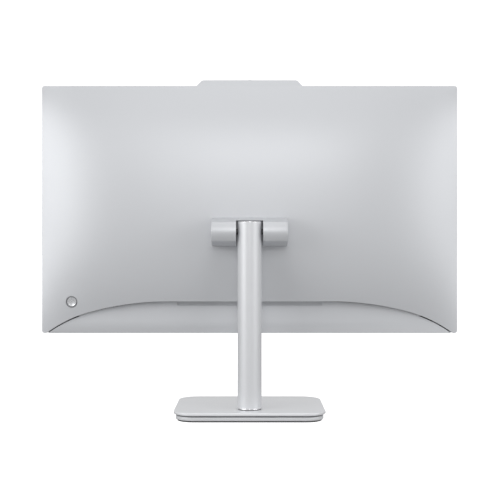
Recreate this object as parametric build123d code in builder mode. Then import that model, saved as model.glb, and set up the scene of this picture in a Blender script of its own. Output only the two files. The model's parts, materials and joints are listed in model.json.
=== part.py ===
from build123d import *
import os

os.makedirs("parts", exist_ok=True)

# An all-in-one computer on a post stand. Millimetres, +Z up, screen facing -Y,
# origin on the desk under the middle of the base.

# Screen housing
PANEL_W = 613.6
PANEL_H = 365.2
PANEL_LOW = 114.7
PANEL_MID = PANEL_LOW + PANEL_H / 2
PANEL_TOP = PANEL_LOW + PANEL_H
CORNER_R = 4.0
RIM_Y = -25.75
GLASS_Y = -36.0
COVER_FRONT_Y = -34.9
GLASS_T = 1.0
COVER_WALL = 1.8
DOME_WALL = 2.2
DOME_RISE = 33.0
DOME_REACH = 1.02
DOME_GAP = 0.1
DOME_TOP_Y = RIM_Y + DOME_RISE + 1.0
DOME_BLOCK = 60.0

# Arch and the recess under it
ARCH_TOP = 162.5
ARCH_FLAT = 120.0
ARCH_R1, ARCH_A1 = 424.0, 15.6
ARCH_R2, ARCH_A2 = 208.0, 24.0
LEDGE_WALL = 2.0
SEAM = 0.3
RECESS_GAP = 1.6
SHELF_Y = -29.2
LOWER_WALL = 1.8
BAY_HALF = 107.0
BAY_LOW = 155.5
BAY_DEPTH = 2.8
BAY_FLOOR = 0.8
LEDGE_VENT_X, LEDGE_VENT_Y = 168.0, -19.0
TOP_VENT_X, TOP_VENT_Y = 180.0, -28.3

# Camera hump
HUMP_H = 9.0
HUMP_BASE = 78.3
HUMP_CREST = 70.0
HUMP_WALL = 1.2
HUMP_LEAN = 3.2
HUMP_R = 5.0

# Display stack, front to back
CELL_W, CELL_H, CELL_LOW = 599.0, 336.0, 140.0
CELL_FRONT, CELL_T = -34.9, 1.2
PRISM_FRONT, FILM_T = -33.6, 0.3
DIFFUSER_FRONT = -33.2
GUIDE_FRONT, GUIDE_T = -32.8, 2.0
LED_H = 2.4
REFLECTOR_FRONT = -30.7
TRAY_FRONT, TRAY_T = -30.3, 0.7
CHIN_H = 21.0
MID_INSET = 2.1
MID_BACK_Y = -29.6
PLATE_FRONT, PLATE_T = -29.5, 1.0
PLATE_BACK = PLATE_FRONT + PLATE_T
PLATE_LOW, PLATE_HIGH, PLATE_HALF = 166.0, 474.0, 302.0

# Electronics
BOARD_BACK, BOARD_T = -22.4, 1.6
BOARD_FRONT = BOARD_BACK - BOARD_T
BOARD_LEFT, BOARD_RIGHT, BOARD_LOW = -190.0, 120.0, 167.0
BOARD_STEP_X, BOARD_STEP_Z, BOARD_HIGH = -58.0, 232.0, 330.0
PORT_MOUTH = 162.8
PORT_GAP = 0.35
BOARD_FIT = 0.02
BOARD_CHIPS = [
    (-90, 300, 24, 22, 1.2),
    (-150, 200, 14, 14, 1.0),
    (-110, 190, 10, 12, 1.0),
    (-150, 320, 8, 8, 2.0),
    (-100, 252, 12, 6, 1.4),
    (78, 190.5, 73, 5, 9.98),
]
COIL_X, COIL_Z, COIL_PITCH, COIL_COUNT, COIL_W, COIL_T = -178.0, 262.0, 12.0, 5, 9.0, 3.98
STANDOFFS = [(-182, 175), (-182, 322), (-66, 322), (-66, 240), (112, 224), (112, 175), (-10, 224)]
USB_X, USB_PITCH, USB_COUNT = 29.0, 17.0, 4
USB_W, USB_D, USB_L, USB_LIFT = 13.1, 5.7, 14.0, 3.0
HDMI_X, HDMI_W, HDMI_D, HDMI_L = 52.0, 15.0, 5.6, 12.0
LAN_X, LAN_W, LAN_D, LAN_L = 77.0, 15.9, 13.3, 21.0
LAN_MOUTH_W, LAN_MOUTH_D, LAN_MOUTH_L = 11.9, 8.2, 15.0
TYPEC_X, TYPEC_W, TYPEC_D, TYPEC_L = -41.0, 9.0, 3.3, 7.5
AUDIO_X, AUDIO_W, AUDIO_L, AUDIO_R = -57.0, 6.6, 12.0, 1.8
POWER_X, POWER_W, POWER_D, POWER_L, POWER_R = 99.0, 9.4, 11.0, 14.0, 2.9
CPU_X, CPU_Z, CPU_W, CPU_H, CPU_T = -125.0, 285.0, 45.0, 25.0, 1.3
COLD_W, COLD_H, COLD_T = 58.0, 44.0, 3.0
PIPE_R, PIPE_Y, PIPE_X, PIPE_GAP = 2.6, -14.9, -176.0, 8.0
FAN_X, FAN_Z, FAN_SIZE, FAN_FRONT, FAN_DEPTH = -125.0, 374.0, 80.0, -26.0, 15.0
MEMORY_X, MEMORY_Z, MEMORY_W, MEMORY_H, MEMORY_CHIP_W = 78.0, 209.0, 69.6, 30.0, 12.0
MEMORY_LIFTS, CARD_T = (3.0, 7.0), 1.2
DRIVE_X, DRIVE_Z, DRIVE_W, DRIVE_H = -10.0, 205.0, 80.0, 22.0
RADIO_X, RADIO_Z, RADIO_W, RADIO_H = -80.0, 207.0, 22.0, 30.0
CARD_LIFT, CARD_BOARD_T, CARD_CHIP_T = 3.3, 0.8, 1.3
COIN_X, COIN_Z, COIN_R, COIN_T, COIN_LIFT = -128.0, 222.0, 10.0, 3.2, 1.8
FAN_WALL, ROTOR_R, HUB_R, BLADES = 1.2, 30.0, 14.0, 17
FIN_LOW, FIN_HIGH, FIN_COUNT, FIN_T = 415.0, 433.0, 26, 0.5

# Speakers
SPEAKER_X, SPEAKER_Z, SPEAKER_W, SPEAKER_H = 231.0, 203.0, 62.0, 56.0
SPEAKER_BACK, SPEAKER_D, SPEAKER_WALL = -18.3, 9.4, 1.4
DRIVER_X, DRIVER_Y, DRIVER_W, DRIVER_D, DRIVER_H = 222.0, -23.0, 34.0, 4.8, 5.0

# Power button
BUTTON_X, BUTTON_Z = 261.5, 161.2
BUTTON_R, WELL_R = 6.85, 8.75
BUTTON_BACK, STEM_R, STEM_END = -20.0, 2.0, -23.0
DISH_R, DISH_DEPTH, CAP_SINK, SLEEVE_SINK = 26.0, 0.9, 1.3, 1.6
FLANGE_Y, FLANGE_T, FLANGE_R = -22.0, 1.0, 10.2
TACT_W, TACT_FRONT, TACT_T, TACT_R = 6.0, -26.4, 1.6, 1.7

# Camera
LENS_LIFT, LENS_R, LENS_T, LENS_BACK = 4.1, 2.0, 1.2, -32.3
CAMERA_SIZE, CAMERA_BACK, CAMERA_BOARD_T = 6.4, -29.7, 0.8
MICROPHONE_X, LIGHT_SENSOR_X = 30.0, 48.0
SHUTTER_BACK, SHUTTER_T, SLIDER_W = -33.85, 0.45, 4.5

# Stand
POLE_Y, POLE_R, POLE_WALL, POLE_TOP = 44.8, 17.0, 2.2, 277.9
AXIS_Z = 263.5
CORE_R, CORE_TOP = 11.0, 245.0
BASE_W, BASE_D, BASE_R = 213.0, 167.3, 29.5
BASE_TOP, TOP_T = 13.5, 4.0
GROOVE_T, GROOVE_INSET = 2.5, 5.0
LOWER_INSET, LOWER_LOW = 3.1, 1.8
FOOT_INSET, FOOT_W = 5.6, 9.0
SCREW_HEAD_R, SCREW_HEAD_H = 16.0, 5.0

# Tilt hinge
BAR_W, BAR_HALF, BAR_REAR_HALF = 107.8, 20.3, 13.3
BAR_ROOT_Y, BAR_SHOULDER_Y, BAR_EDGE_Y, BAR_REAR_Y = 4.0, 30.0, 52.5, 57.5
BAR_WALL = 2.0
NOTCH_HALF, NOTCH_FRONT, NOTCH_TOP = 19.1, 21.8, 279.3
SHAFT_R, SHAFT_HALF, RUN_GAP = 4.0, 50.5, 0.05
ARM_X, ARM_T, ARM_HALF = 22.0, 3.0, 10.0
WASHER_R, WASHER_T = 9.0, 1.2


def wall(y):
    """Upright plane at depth y; extruding from it goes towards the screen side."""
    return Plane.XZ.offset(-y)


def level(z):
    """Level plane at height z."""
    return Plane.XY.offset(z)


def slab(x, z, w, h, back, depth):
    """Upright block centred on x and z, from its rear face at back going forward by depth."""
    with BuildSketch(wall(back)) as block:
        with Locations((x, z)):
            Rectangle(w, h)
    extrude(block.sketch, amount=depth)


def screen_outline(inset):
    """The housing's rounded rectangle, moved in all round."""
    with Locations((0, PANEL_MID)):
        RectangleRounded(PANEL_W - 2 * inset, PANEL_H - 2 * inset, max(CORNER_R - inset, 1.0))


def under_arch(drop):
    """Area below the arch line, with the line moved in by drop (out when negative)."""
    with BuildLine() as outline:
        flat = Line((0, ARCH_TOP - drop), (ARCH_FLAT, ARCH_TOP - drop))
        shoulder = JernArc(flat @ 1, (1, 0), ARCH_R1 - drop, -ARCH_A1)
        haunch = JernArc(shoulder @ 1, shoulder % 1, ARCH_R2 - drop, -ARCH_A2)
        foot = (haunch @ 1).X
        Polyline(haunch @ 1, (foot, PANEL_LOW - DOME_BLOCK), (0, PANEL_LOW - DOME_BLOCK))
        mirror(about=Plane.YZ)
    make_face(outline.line.edges())


def hump_outline(inset, low):
    """Camera hump with sloping sides and a rounded crest, starting at height low."""
    with BuildLine() as outline:
        Polyline(
            (-HUMP_BASE + inset, low),
            (HUMP_BASE - inset, low),
            (HUMP_BASE - inset, PANEL_TOP),
            (HUMP_CREST - inset, PANEL_TOP + HUMP_H - inset),
            (-HUMP_CREST + inset, PANEL_TOP + HUMP_H - inset),
            (-HUMP_BASE + inset, PANEL_TOP),
            close=True,
        )
    make_face(outline.line.edges())


def hump_back(inset):
    """Space behind the hump's rear face, which leans towards the screen, moved forward by inset."""
    foot_y = RIM_Y - inset
    with BuildSketch(Plane.YZ.offset(-HUMP_BASE)) as gap:
        with BuildLine() as outline:
            Polyline(
                (foot_y, PANEL_TOP),
                (foot_y - HUMP_LEAN, PANEL_TOP + HUMP_H),
                (foot_y - HUMP_LEAN, PANEL_TOP + 2 * HUMP_H),
                (foot_y + HUMP_LEAN, PANEL_TOP + 2 * HUMP_H),
                (foot_y + HUMP_LEAN, PANEL_TOP),
                close=True,
            )
        make_face(outline.line.edges())
    extrude(gap.sketch, amount=2 * HUMP_BASE, mode=Mode.SUBTRACT)


def base_outline(inset):
    """The base's rounded rectangle, moved in all round."""
    RectangleRounded(BASE_W - 2 * inset, BASE_D - 2 * inset, BASE_R - inset)


def dome(shift):
    """Solid under the rear cover's dome, moved by shift along Y.

    The rise falls off with the fourth power of the distance across, and with the mean of the
    second and fourth powers of the distance up: both are exact in a Bezier patch of degree 4.
    """
    fourth = [DOME_REACH**4 * (-1) ** i for i in range(5)]
    second = [DOME_REACH**2 * k for k in (1, 0, -1 / 3, 0, 1)]
    spread = [DOME_REACH * (i / 2 - 1) for i in range(5)]
    net = [
        [
            (
                spread[i] * PANEL_W / 2,
                RIM_Y + shift + DOME_RISE * (1 - fourth[i]) * (1 - (second[j] + fourth[j]) / 2),
                PANEL_MID + spread[j] * PANEL_H / 2,
            )
            for j in range(5)
        ]
        for i in range(5)
    ]
    return extrude(Face.make_bezier_surface(net), amount=DOME_BLOCK, dir=(0, -1, 0))


outer_dome = dome(0)
inner_dome = dome(-DOME_WALL)
button_dome = dome(-SEAM)
sleeve_dome = dome(-SLEEVE_SINK)
bar_dome = dome(DOME_GAP)


# ---------------------------------------------------------------- rear cover
with BuildPart() as cover_hollow:
    with BuildSketch(wall(DOME_TOP_Y)):
        screen_outline(COVER_WALL)
    extrude(amount=DOME_TOP_Y - SHELF_Y)
    add(inner_dome, mode=Mode.INTERSECT)
    with BuildSketch(wall(DOME_TOP_Y)):
        under_arch(-LEDGE_WALL)
    extrude(amount=DOME_BLOCK, mode=Mode.SUBTRACT)
    with BuildSketch(wall(SHELF_Y)):
        screen_outline(COVER_WALL)
    extrude(amount=SHELF_Y - COVER_FRONT_Y)
    with BuildSketch(wall(RIM_Y - HUMP_WALL)):
        hump_outline(HUMP_WALL, PANEL_TOP - CORNER_R)
    extrude(amount=RIM_Y - HUMP_WALL - COVER_FRONT_Y)
    hump_back(HUMP_WALL)

with BuildPart() as rear_cover:
    with BuildSketch(wall(DOME_TOP_Y)):
        screen_outline(0)
    extrude(amount=DOME_TOP_Y - COVER_FRONT_Y)
    add(outer_dome, mode=Mode.INTERSECT)
    with BuildSketch(wall(RIM_Y)):
        hump_outline(0, PANEL_TOP - CORNER_R)
    extrude(amount=RIM_Y - COVER_FRONT_Y)
    crest = rear_cover.edges().filter_by(Axis.Y).group_by(Axis.Z)[-1]
    fillet(crest, HUMP_R)
    hump_back(0)
    add(cover_hollow.part, mode=Mode.SUBTRACT)
    with BuildSketch(wall(DOME_TOP_Y)):
        under_arch(0)
    extrude(amount=DOME_BLOCK, mode=Mode.SUBTRACT)
    # Well for the power button
    with BuildSketch(wall(DOME_TOP_Y)):
        with Locations((BUTTON_X, BUTTON_Z)):
            Circle(WELL_R)
    extrude(amount=DOME_BLOCK / 2, mode=Mode.SUBTRACT)
    # Window for the hinge arms
    with BuildSketch(wall(DOME_TOP_Y)):
        with Locations((0, AXIS_Z)):
            Rectangle(2 * (ARM_X + ARM_T + 1), 2 * ARM_HALF + 2)
    extrude(amount=DOME_RISE / 2, mode=Mode.SUBTRACT)
    # Port openings in the ledge
    with BuildSketch(level(ARCH_TOP - 1)):
        for i in range(USB_COUNT):
            with Locations((USB_X - i * USB_PITCH, BOARD_BACK + USB_LIFT + USB_D / 2)):
                Rectangle(USB_W + 2 * PORT_GAP, USB_D + 2 * PORT_GAP)
        with Locations((HDMI_X, BOARD_BACK + HDMI_D / 2)):
            Rectangle(HDMI_W + 2 * PORT_GAP, HDMI_D + 2 * PORT_GAP)
        with Locations((LAN_X, BOARD_BACK + LAN_D / 2)):
            Rectangle(LAN_W + 2 * PORT_GAP, LAN_D + 2 * PORT_GAP)
        with Locations((TYPEC_X, BOARD_BACK + TYPEC_D / 2)):
            Rectangle(TYPEC_W + 2 * PORT_GAP, TYPEC_D + 2 * PORT_GAP)
        with Locations((AUDIO_X, BOARD_BACK + AUDIO_W / 2)):
            Rectangle(AUDIO_W + 2 * PORT_GAP, AUDIO_W + 2 * PORT_GAP)
        with Locations((POWER_X, BOARD_BACK + POWER_D / 2)):
            Rectangle(POWER_W + 2 * PORT_GAP, POWER_D + 2 * PORT_GAP)
    extrude(amount=LEDGE_WALL + 2, mode=Mode.SUBTRACT)
    # Air slots in the ledge and along the top edge
    with BuildSketch(level(ARCH_TOP - 12)):
        for side in (-1, 1):
            with Locations((side * LEDGE_VENT_X, LEDGE_VENT_Y)):
                with GridLocations(7, 1, 10, 1):
                    SlotOverall(10, 3, rotation=90)
    extrude(amount=18, mode=Mode.SUBTRACT)
    with BuildSketch(level(PANEL_TOP - COVER_WALL - 1)):
        for side in (-1, 1):
            with Locations((side * TOP_VENT_X, TOP_VENT_Y)):
                with GridLocations(12, 1, 13, 1):
                    SlotOverall(9, 1.4)
    extrude(amount=COVER_WALL + 2, mode=Mode.SUBTRACT)
    # Slot for the shutter slider in the hump's crest
    with BuildSketch(level(PANEL_TOP + HUMP_H - HUMP_WALL - 1)):
        with Locations((3.6, -33.4)):
            Rectangle(12.4, 2.0)
    extrude(amount=HUMP_WALL + 2, mode=Mode.SUBTRACT)
rear_cover.part.label = "rear_cover"
export_step(rear_cover.part, "parts/rear_cover.step")


# ---------------------------------------------------------- lower rear cover
with BuildPart() as lower_cover:
    with BuildSketch(wall(RIM_Y)):
        screen_outline(0)
    extrude(amount=RIM_Y - COVER_FRONT_Y)
    with BuildSketch(wall(RIM_Y - LOWER_WALL)):
        screen_outline(COVER_WALL)
    extrude(amount=DOME_BLOCK, mode=Mode.SUBTRACT)
    with BuildSketch(wall(RIM_Y)):
        with Locations((0, (BAY_LOW + ARCH_TOP) / 2)):
            Rectangle(2 * BAY_HALF + 2, ARCH_TOP - BAY_LOW + 2)
    extrude(amount=BAY_DEPTH + BAY_FLOOR)
    with BuildSketch(wall(RIM_Y)):
        with Locations((0, (BAY_LOW + ARCH_TOP + 4) / 2)):
            Rectangle(2 * BAY_HALF, ARCH_TOP + 4 - BAY_LOW)
    extrude(amount=BAY_DEPTH, mode=Mode.SUBTRACT)
    with BuildSketch(wall(DOME_TOP_Y)):
        under_arch(RECESS_GAP)
    extrude(amount=DOME_BLOCK, mode=Mode.INTERSECT)
lower_cover.part.label = "lower_rear_cover"
export_step(lower_cover.part, "parts/lower_rear_cover.step")


# ------------------------------------------------------------ front of screen
with BuildPart() as front_glass:
    with BuildSketch(wall(GLASS_Y + GLASS_T)):
        screen_outline(0.2)
        with Locations((0, PANEL_LOW + CHIN_H / 2)):
            Rectangle(PANEL_W + 2, CHIN_H, mode=Mode.SUBTRACT)
    extrude(amount=GLASS_T)
front_glass.part.label = "front_glass"
export_step(front_glass.part, "parts/front_glass.step")

with BuildPart() as chin_panel:
    with BuildSketch(wall(GLASS_Y + GLASS_T)):
        screen_outline(0.2)
        with Locations((0, PANEL_MID + CHIN_H - SEAM / 2)):
            Rectangle(PANEL_W + 2, PANEL_H, mode=Mode.SUBTRACT)
    extrude(amount=GLASS_T)
    with BuildSketch(wall(GLASS_Y + GLASS_T)):
        for side in (-1, 1):
            with Locations((side * 200, PANEL_LOW + CHIN_H / 2)):
                with GridLocations(6, 1, 24, 1):
                    SlotOverall(9, 1.6, rotation=90)
    extrude(amount=GLASS_T, mode=Mode.SUBTRACT)
chin_panel.part.label = "chin_panel"
export_step(chin_panel.part, "parts/chin_panel.step")

with BuildPart() as camera_window:
    with BuildSketch(wall(GLASS_Y + GLASS_T)):
        hump_outline(SEAM, PANEL_TOP - 0.05)
    extrude(amount=GLASS_T)
    fillet(camera_window.edges().filter_by(Axis.Y).group_by(Axis.Z)[-1], HUMP_R)
camera_window.part.label = "camera_window"
export_step(camera_window.part, "parts/camera_window.step")

with BuildPart() as mid_frame:
    with BuildSketch(wall(MID_BACK_Y)):
        screen_outline(MID_INSET)
        with Locations((0, CELL_LOW + CELL_H / 2)):
            Rectangle(CELL_W + 1, CELL_H + 1, mode=Mode.SUBTRACT)
        with Locations((0, PANEL_LOW + MID_INSET + 9)):
            with GridLocations(96, 1, 6, 1):
                Rectangle(84, 12, mode=Mode.SUBTRACT)
    extrude(amount=MID_BACK_Y - COVER_FRONT_Y)
mid_frame.part.label = "mid_frame"
export_step(mid_frame.part, "parts/mid_frame.step")


# --------------------------------------------------------------- display stack
with BuildPart() as lcd_cell:
    slab(0, CELL_LOW + CELL_H / 2, CELL_W, CELL_H, CELL_FRONT + CELL_T, CELL_T)
lcd_cell.part.label = "lcd_cell"
export_step(lcd_cell.part, "parts/lcd_cell.step")

with BuildPart() as optical_films:
    for front in (PRISM_FRONT, DIFFUSER_FRONT, REFLECTOR_FRONT):
        slab(0, CELL_LOW + CELL_H / 2, CELL_W - 1, CELL_H - 1, front + FILM_T, FILM_T)
optical_films.part.label = "optical_films"
export_step(optical_films.part, "parts/optical_films.step")

with BuildPart() as light_guide:
    slab(0, CELL_LOW + (CELL_H + 3) / 2, CELL_W - 1, CELL_H - 4, GUIDE_FRONT + GUIDE_T, GUIDE_T)
light_guide.part.label = "light_guide"
export_step(light_guide.part, "parts/light_guide.step")

with BuildPart() as led_bar:
    slab(0, CELL_LOW + 0.2 + LED_H / 2, CELL_W - 1, LED_H, GUIDE_FRONT + 0.6, 0.6)
    with BuildSketch(wall(GUIDE_FRONT + GUIDE_T)):
        with Locations((0, CELL_LOW + 0.2 + LED_H / 2)):
            with GridLocations(9, 1, 64, 1):
                Rectangle(5, LED_H - 0.6)
    extrude(amount=GUIDE_T - 0.6)
led_bar.part.label = "led_bar"
export_step(led_bar.part, "parts/led_bar.step")

with BuildPart() as lcd_tray:
    slab(0, CELL_LOW + CELL_H / 2, CELL_W, CELL_H, TRAY_FRONT + TRAY_T, TRAY_T)
lcd_tray.part.label = "lcd_tray"
export_step(lcd_tray.part, "parts/lcd_tray.step")

with BuildPart() as timing_board:
    slab(0, 136, 180, 26, -28.5, 0.8)
timing_board.part.label = "timing_board"
export_step(timing_board.part, "parts/timing_board.step")


# ------------------------------------------------------- chassis and main board
with BuildPart() as chassis_plate:
    with BuildSketch(wall(PLATE_BACK)):
        with Locations((0, (PLATE_LOW + PLATE_HIGH) / 2)):
            Rectangle(2 * PLATE_HALF, PLATE_HIGH - PLATE_LOW)
        with Locations((-135, PLATE_LOW)):
            Rectangle(34, 44, mode=Mode.SUBTRACT)
        for side in (-1, 1):
            with Locations((side * 245, 360)):
                SlotOverall(120, 30, rotation=90, mode=Mode.SUBTRACT)
        with Locations((90, 370)):
            SlotOverall(150, 36, mode=Mode.SUBTRACT)
    extrude(amount=PLATE_T)
chassis_plate.part.label = "chassis_plate"
export_step(chassis_plate.part, "parts/chassis_plate.step")

with BuildPart() as board_posts:
    with BuildSketch(wall(BOARD_FRONT - 0.02)):
        with Locations(*STANDOFFS):
            Circle(3)
    extrude(amount=BOARD_FRONT - PLATE_BACK - 0.04)
board_posts.part.label = "board_posts"
export_step(board_posts.part, "parts/board_posts.step")

with BuildPart() as mainboard:
    with BuildSketch(wall(BOARD_BACK)):
        with BuildLine():
            Polyline(
                (BOARD_LEFT, BOARD_LOW),
                (BOARD_RIGHT, BOARD_LOW),
                (BOARD_RIGHT, BOARD_STEP_Z),
                (BOARD_STEP_X, BOARD_STEP_Z),
                (BOARD_STEP_X, BOARD_HIGH),
                (BOARD_LEFT, BOARD_HIGH),
                close=True,
            )
        make_face()
        with Locations(*STANDOFFS):
            Circle(1.7, mode=Mode.SUBTRACT)
    extrude(amount=BOARD_T)
mainboard.part.label = "mainboard"
export_step(mainboard.part, "parts/mainboard.step")

with BuildPart() as chassis_screws:
    with BuildSketch(wall(BOARD_BACK + 1.8)):
        with Locations(*STANDOFFS):
            Circle(2.8)
            RegularPolygon(1.0, 6, mode=Mode.SUBTRACT)
    extrude(amount=1.75)
    with BuildSketch(wall(PLATE_BACK + 0.1 + ARM_T + 2.4)):
        for side in (-1, 1):
            with Locations((side * (ARM_X + 12), AXIS_Z)):
                with GridLocations(12, 38, 1, 2):
                    Circle(3.4)
                    RegularPolygon(1.3, 6, mode=Mode.SUBTRACT)
    extrude(amount=2.4)
chassis_screws.part.label = "chassis_screws"
export_step(chassis_screws.part, "parts/chassis_screws.step")

with BuildPart() as board_components:
    for x, z, w, h, t in BOARD_CHIPS:
        slab(x, z, w, h, BOARD_BACK + BOARD_FIT + t, t)
    for i in range(COIL_COUNT):
        slab(COIL_X, COIL_Z + i * COIL_PITCH, COIL_W, COIL_W, BOARD_BACK + BOARD_FIT + COIL_T, COIL_T)
board_components.part.label = "board_components"
export_step(board_components.part, "parts/board_components.step")

with BuildPart() as cpu_package:
    slab(CPU_X, CPU_Z, CPU_W, CPU_H, BOARD_BACK + BOARD_FIT + CPU_T, CPU_T)
cpu_package.part.label = "cpu_package"
export_step(cpu_package.part, "parts/cpu_package.step")

with BuildPart() as cold_plate:
    slab(CPU_X, CPU_Z, COLD_W, COLD_H, BOARD_BACK + 0.06 + CPU_T + COLD_T, COLD_T)
cold_plate.part.label = "cold_plate"
export_step(cold_plate.part, "parts/cold_plate.step")

with BuildPart() as heat_pipes:
    for i in range(2):
        low = CPU_Z - PIPE_GAP / 2 + i * PIPE_GAP
        high = (FIN_LOW + FIN_HIGH) / 2 + PIPE_GAP / 2 - i * PIPE_GAP
        side = PIPE_X + i * PIPE_GAP - (FIN_COUNT - 18)
        with BuildLine(wall(PIPE_Y)) as route:
            FilletPolyline((CPU_X + 24, low), (side, low), (side, high), (FAN_X + 36, high), radius=7)
        with BuildSketch(Plane(origin=route.line @ 0, z_dir=route.line % 0)):
            Circle(PIPE_R)
        sweep(path=route.line)
heat_pipes.part.label = "heat_pipes"
export_step(heat_pipes.part, "parts/heat_pipes.step")

with BuildPart() as fin_stack:
    fin_mid = (FIN_LOW + FIN_HIGH) / 2
    slab(FAN_X, fin_mid, FAN_SIZE - 4, FIN_HIGH - FIN_LOW, FAN_FRONT + 1.0, 1.0)
    with BuildSketch(wall(FAN_FRONT + FAN_DEPTH)):
        with Locations((FAN_X, fin_mid)):
            with GridLocations((FAN_SIZE - 4 - FIN_T) / (FIN_COUNT - 1), 1, FIN_COUNT, 1):
                Rectangle(FIN_T, FIN_HIGH - FIN_LOW)
    extrude(amount=FAN_DEPTH)
    with BuildSketch(Plane.YZ.offset(FAN_X - FAN_SIZE)):
        with Locations((PIPE_Y, fin_mid - PIPE_GAP / 2), (PIPE_Y, fin_mid + PIPE_GAP / 2)):
            Circle(PIPE_R + 0.05)
    extrude(amount=2 * FAN_SIZE, mode=Mode.SUBTRACT)
fin_stack.part.label = "fin_stack"
export_step(fin_stack.part, "parts/fin_stack.step")


# ------------------------------------------------------------------------- fan
with BuildPart() as fan_housing:
    slab(FAN_X, FAN_Z, FAN_SIZE, FAN_SIZE, FAN_FRONT + FAN_DEPTH - FAN_WALL, FAN_DEPTH - FAN_WALL)
    with BuildSketch(wall(FAN_FRONT + FAN_DEPTH)):
        with Locations((FAN_X, FAN_Z)):
            Circle(ROTOR_R + 4)
        with Locations((FAN_X + 3, FAN_Z + 22)):
            Rectangle(FAN_SIZE - 12, 40)
    extrude(amount=FAN_DEPTH - FAN_WALL, mode=Mode.SUBTRACT)
    with BuildSketch(wall(FAN_FRONT + 3)):
        with Locations((FAN_X, FAN_Z)):
            Circle(5)
    extrude(amount=3)
fan_housing.part.label = "fan_housing"
export_step(fan_housing.part, "parts/fan_housing.step")

with BuildPart() as fan_cover:
    with BuildSketch(wall(FAN_FRONT + FAN_DEPTH)):
        with Locations((FAN_X, FAN_Z)):
            Rectangle(FAN_SIZE, FAN_SIZE)
            Circle(ROTOR_R - 8, mode=Mode.SUBTRACT)
    extrude(amount=FAN_WALL - 0.05)
fan_cover.part.label = "fan_cover"
export_step(fan_cover.part, "parts/fan_cover.step")

with BuildPart() as fan_rotor:
    with BuildSketch(wall(FAN_FRONT + FAN_DEPTH - FAN_WALL - 1)):
        with Locations((FAN_X, FAN_Z)):
            Circle(HUB_R)
            with PolarLocations((ROTOR_R + HUB_R) / 2 - 0.5, BLADES):
                Rectangle(ROTOR_R - HUB_R + 1, 0.9)
    extrude(amount=8)
    with BuildSketch(wall(FAN_FRONT + 5.0)):
        with Locations((FAN_X, FAN_Z)):
            Circle(ROTOR_R)
    extrude(amount=1)
fan_rotor.part.label = "fan_rotor"
export_step(fan_rotor.part, "parts/fan_rotor.step")


# ----------------------------------------------------------- cards and memory
with BuildPart() as memory_modules:
    for lift in MEMORY_LIFTS:
        slab(MEMORY_X, MEMORY_Z, MEMORY_W, MEMORY_H, BOARD_BACK + lift + CARD_T, CARD_T)
        for i in range(4):
            chip_x = MEMORY_X + (i - 1.5) * (MEMORY_CHIP_W + 5)
            slab(chip_x, MEMORY_Z + 1, MEMORY_CHIP_W, MEMORY_CHIP_W - 1, BOARD_BACK + lift + 2.3, CARD_T)
memory_modules.part.label = "memory_modules"
export_step(memory_modules.part, "parts/memory_modules.step")

with BuildPart() as plug_in_cards:
    slab(DRIVE_X, DRIVE_Z, DRIVE_W, DRIVE_H, BOARD_BACK + CARD_LIFT, CARD_BOARD_T)
    for i in range(3):
        slab(DRIVE_X + 22 * (i - 1) - 2, DRIVE_Z, 16, 14, BOARD_BACK + CARD_LIFT + CARD_CHIP_T, CARD_CHIP_T)
    slab(RADIO_X, RADIO_Z, RADIO_W, RADIO_H, BOARD_BACK + CARD_LIFT, CARD_BOARD_T)
    slab(RADIO_X, RADIO_Z + 2, 16, 20, BOARD_BACK + CARD_LIFT + CARD_CHIP_T, CARD_CHIP_T)
plug_in_cards.part.label = "plug_in_cards"
export_step(plug_in_cards.part, "parts/plug_in_cards.step")

with BuildPart() as coin_cell:
    with BuildSketch(wall(BOARD_BACK + COIN_LIFT + COIN_T)):
        with Locations((COIN_X, COIN_Z)):
            Circle(COIN_R)
    extrude(amount=COIN_T)
coin_cell.part.label = "coin_cell"
export_step(coin_cell.part, "parts/coin_cell.step")


# ----------------------------------------------------------------------- ports
def socket(x, w, d, length, lift, lip):
    """Metal shell on the board's rear face with its mouth facing the desk."""
    middle = (x, BOARD_BACK + lift + d / 2)
    with BuildSketch(level(PORT_MOUTH)) as shell:
        with Locations(middle):
            Rectangle(w, d)
    extrude(shell.sketch, amount=length)
    with BuildSketch(level(PORT_MOUTH)) as mouth:
        with Locations(middle):
            Rectangle(w - 2 * lip, d - 2 * lip)
    extrude(mouth.sketch, amount=length - lip, mode=Mode.SUBTRACT)


with BuildPart() as usb_ports:
    for i in range(USB_COUNT):
        socket(USB_X - i * USB_PITCH, USB_W, USB_D, USB_L, USB_LIFT, 0.4)
    socket(TYPEC_X, TYPEC_W, TYPEC_D, TYPEC_L, 0.05, 0.3)
usb_ports.part.label = "usb_ports"
export_step(usb_ports.part, "parts/usb_ports.step")

with BuildPart() as usb_tongues:
    with BuildSketch(level(PORT_MOUTH + 1)):
        for i in range(USB_COUNT):
            with Locations((USB_X - i * USB_PITCH, BOARD_BACK + USB_LIFT + 3.9)):
                Rectangle(11, 1.6)
    extrude(amount=USB_L - 1.6)
usb_tongues.part.label = "usb_tongues"
export_step(usb_tongues.part, "parts/usb_tongues.step")

with BuildPart() as video_port:
    socket(HDMI_X, HDMI_W, HDMI_D, HDMI_L, 0.05, 0.4)
video_port.part.label = "video_port"
export_step(video_port.part, "parts/video_port.step")

with BuildPart() as network_port:
    with BuildSketch(level(PORT_MOUTH)):
        with Locations((LAN_X, BOARD_BACK + 0.05 + LAN_D / 2)):
            Rectangle(LAN_W, LAN_D)
    extrude(amount=LAN_L)
    with BuildSketch(level(PORT_MOUTH)):
        with Locations((LAN_X, BOARD_BACK + 0.05 + LAN_D / 2)):
            Rectangle(LAN_MOUTH_W, LAN_MOUTH_D)
    extrude(amount=LAN_MOUTH_L, mode=Mode.SUBTRACT)
network_port.part.label = "network_port"
export_step(network_port.part, "parts/network_port.step")

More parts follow.
